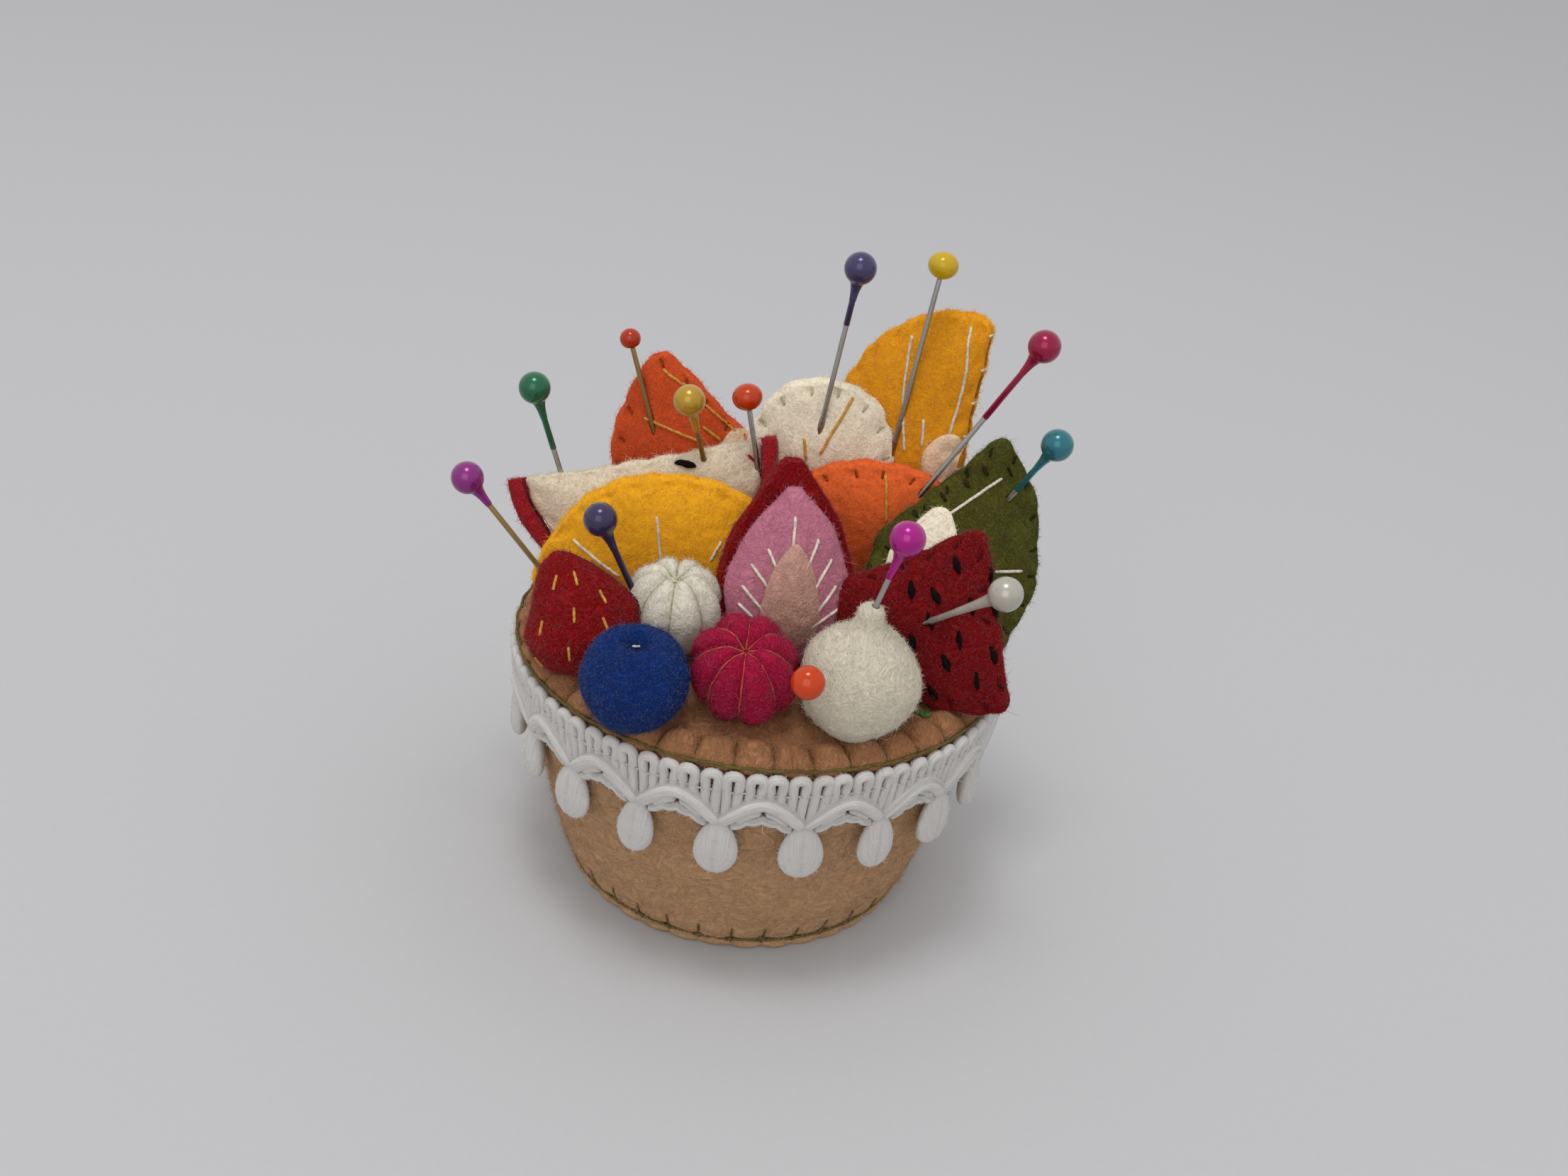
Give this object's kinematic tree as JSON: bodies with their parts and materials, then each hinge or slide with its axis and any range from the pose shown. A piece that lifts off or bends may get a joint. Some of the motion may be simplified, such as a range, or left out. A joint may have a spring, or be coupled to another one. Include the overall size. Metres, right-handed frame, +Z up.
{
  "type": "felt cake pincushion",
  "caption": "Stuffed felt pincushion shaped as a small cake: a tapered cup with a lace rim, topped with felt fruit that holds ball-headed sewing pins.",
  "frame": {"origin": "middle of the flat underside of the cup, on the surface it stands on", "axes": "+Z up, -Y to the front, +X to the right as seen from the front"},
  "size_m": [0.0744, 0.0631, 0.0781],
  "materials": {
    "tan_felt": "wool felt",
    "cream_felt": "wool felt",
    "red_felt": "wool felt",
    "magenta_felt": "wool felt",
    "white_felt": "wool felt",
    "blue_felt": "wool felt",
    "pink_felt": "wool felt",
    "crimson_felt": "wool felt",
    "rind_felt": "wool felt",
    "yellow_felt": "wool felt",
    "green_felt": "wool felt",
    "orange_felt": "wool felt",
    "wedge_felt": "wool felt",
    "apple_felt": "wool felt",
    "fibre": "loose fibre",
    "lace": "knitted cotton",
    "purple_back_head": "pearl gloss",
    "steel": "polished steel",
    "yellow_head": "glossy",
    "crimson_head": "pearl gloss",
    "teal_head": "pearl gloss",
    "white_head": "pearl gloss",
    "magenta_right_head": "pearl gloss",
    "orange_back_head": "glossy",
    "gold_head": "pearl gloss",
    "small_red_head": "glossy",
    "green_head": "pearl gloss",
    "magenta_left_head": "pearl gloss",
    "purple_front_head": "pearl gloss",
    "orange_front_head": "glossy"
  },
  "bodies": {
    "cake": {"top_disc": "tan_felt", "cream_dollop": "cream_felt", "strawberry": "red_felt", "raspberry": "magenta_felt", "white_berry": "white_felt", "blueberry": "blue_felt", "strawberry_half_body": "red_felt", "strawberry_half_face": "pink_felt", "strawberry_half_heart": "cream_felt", "watermelon": "crimson_felt", "watermelon_rind": "rind_felt", "yellow_slice": "yellow_felt", "kiwi_slice": "green_felt", "kiwi_slice_core": "cream_felt", "orange_slice": "orange_felt", "lemon_slice": "yellow_felt", "lemon_slice_core": "cream_felt", "orange_wedge": "wedge_felt", "orange_wedge_core": "cream_felt", "apple_flesh": "apple_felt", "apple_peel": "red_felt", "pale_slice": "cream_felt", "bottom_disc": "tan_felt", "side_wall": "tan_felt", "cup_stuffing": "fibre", "lace_trim": "lace"},
    "pin_purple_back": {"pin_purple_back_head": "purple_back_head", "pin_purple_back_shaft": "steel"},
    "pin_yellow": {"pin_yellow_head": "yellow_head", "pin_yellow_shaft": "steel"},
    "pin_crimson": {"pin_crimson_head": "crimson_head", "pin_crimson_shaft": "steel"},
    "pin_teal": {"pin_teal_head": "teal_head", "pin_teal_shaft": "steel"},
    "pin_white": {"pin_white_head": "white_head", "pin_white_shaft": "steel"},
    "pin_magenta_right": {"pin_magenta_right_head": "magenta_right_head", "pin_magenta_right_shaft": "steel"},
    "pin_orange_back": {"pin_orange_back_head": "orange_back_head", "pin_orange_back_shaft": "steel"},
    "pin_gold": {"pin_gold_head": "gold_head", "pin_gold_shaft": "steel"},
    "pin_small_red": {"pin_small_red_head": "small_red_head", "pin_small_red_shaft": "steel"},
    "pin_green": {"pin_green_head": "green_head", "pin_green_shaft": "steel"},
    "pin_magenta_left": {"pin_magenta_left_head": "magenta_left_head", "pin_magenta_left_shaft": "steel"},
    "pin_purple_front": {"pin_purple_front_head": "purple_front_head", "pin_purple_front_shaft": "steel"},
    "pin_orange_front": {"pin_orange_front_head": "orange_front_head", "pin_orange_front_shaft": "steel"}
  },
  "joints": [
    {"name": "pin_purple_back_slide", "type": "slide", "parent": "cake", "child": "pin_purple_back", "axis": [0.1045, 0, 0.9945], "range_m": [-0.008, 0.0236]},
    {"name": "pin_yellow_slide", "type": "slide", "parent": "cake", "child": "pin_yellow", "axis": [0.1045, 0, 0.9945], "range_m": [-0.004, 0.0244]},
    {"name": "pin_crimson_slide", "type": "slide", "parent": "cake", "child": "pin_crimson", "axis": [0.4848, 0, 0.8746], "range_m": [-0.008, 0.0212]},
    {"name": "pin_teal_slide", "type": "slide", "parent": "cake", "child": "pin_teal", "axis": [0.4292, -0.2032, 0.88], "range_m": [-0.0045, 0.034]},
    {"name": "pin_white_slide", "type": "slide", "parent": "cake", "child": "pin_white", "axis": [0.5973, -0.4827, 0.6405], "range_m": [-0.0035, 0.0316]},
    {"name": "pin_magenta_right_slide", "type": "slide", "parent": "cake", "child": "pin_magenta_right", "axis": [0.2416, -0.0508, 0.969], "range_m": [-0.005, 0.0346]},
    {"name": "pin_orange_back_slide", "type": "slide", "parent": "cake", "child": "pin_orange_back", "axis": [-0.2419, 0, 0.9703], "range_m": [-0.005, 0.0336]},
    {"name": "pin_gold_slide", "type": "slide", "parent": "cake", "child": "pin_gold", "axis": [-0.2904, -0.1166, 0.9498], "range_m": [-0.0025, 0.036]},
    {"name": "pin_small_red_slide", "type": "slide", "parent": "cake", "child": "pin_small_red", "axis": [-0.309, 0, 0.9511], "range_m": [-0.0045, 0.0333]},
    {"name": "pin_green_slide", "type": "slide", "parent": "cake", "child": "pin_green", "axis": [-0.3256, 0, 0.9455], "range_m": [-0.006, 0.0325]},
    {"name": "pin_magenta_left_slide", "type": "slide", "parent": "cake", "child": "pin_magenta_left", "axis": [-0.6428, 0, 0.766], "range_m": [-0.008, 0.0292]},
    {"name": "pin_purple_front_slide", "type": "slide", "parent": "cake", "child": "pin_purple_front", "axis": [-0.454, 0, 0.891], "range_m": [-0.0045, 0.0339]},
    {"name": "pin_orange_front_slide", "type": "slide", "parent": "cake", "child": "pin_orange_front", "axis": [-0.0571, -0.8373, 0.5437], "range_m": [-0.0045, 0.0369]}
  ]
}
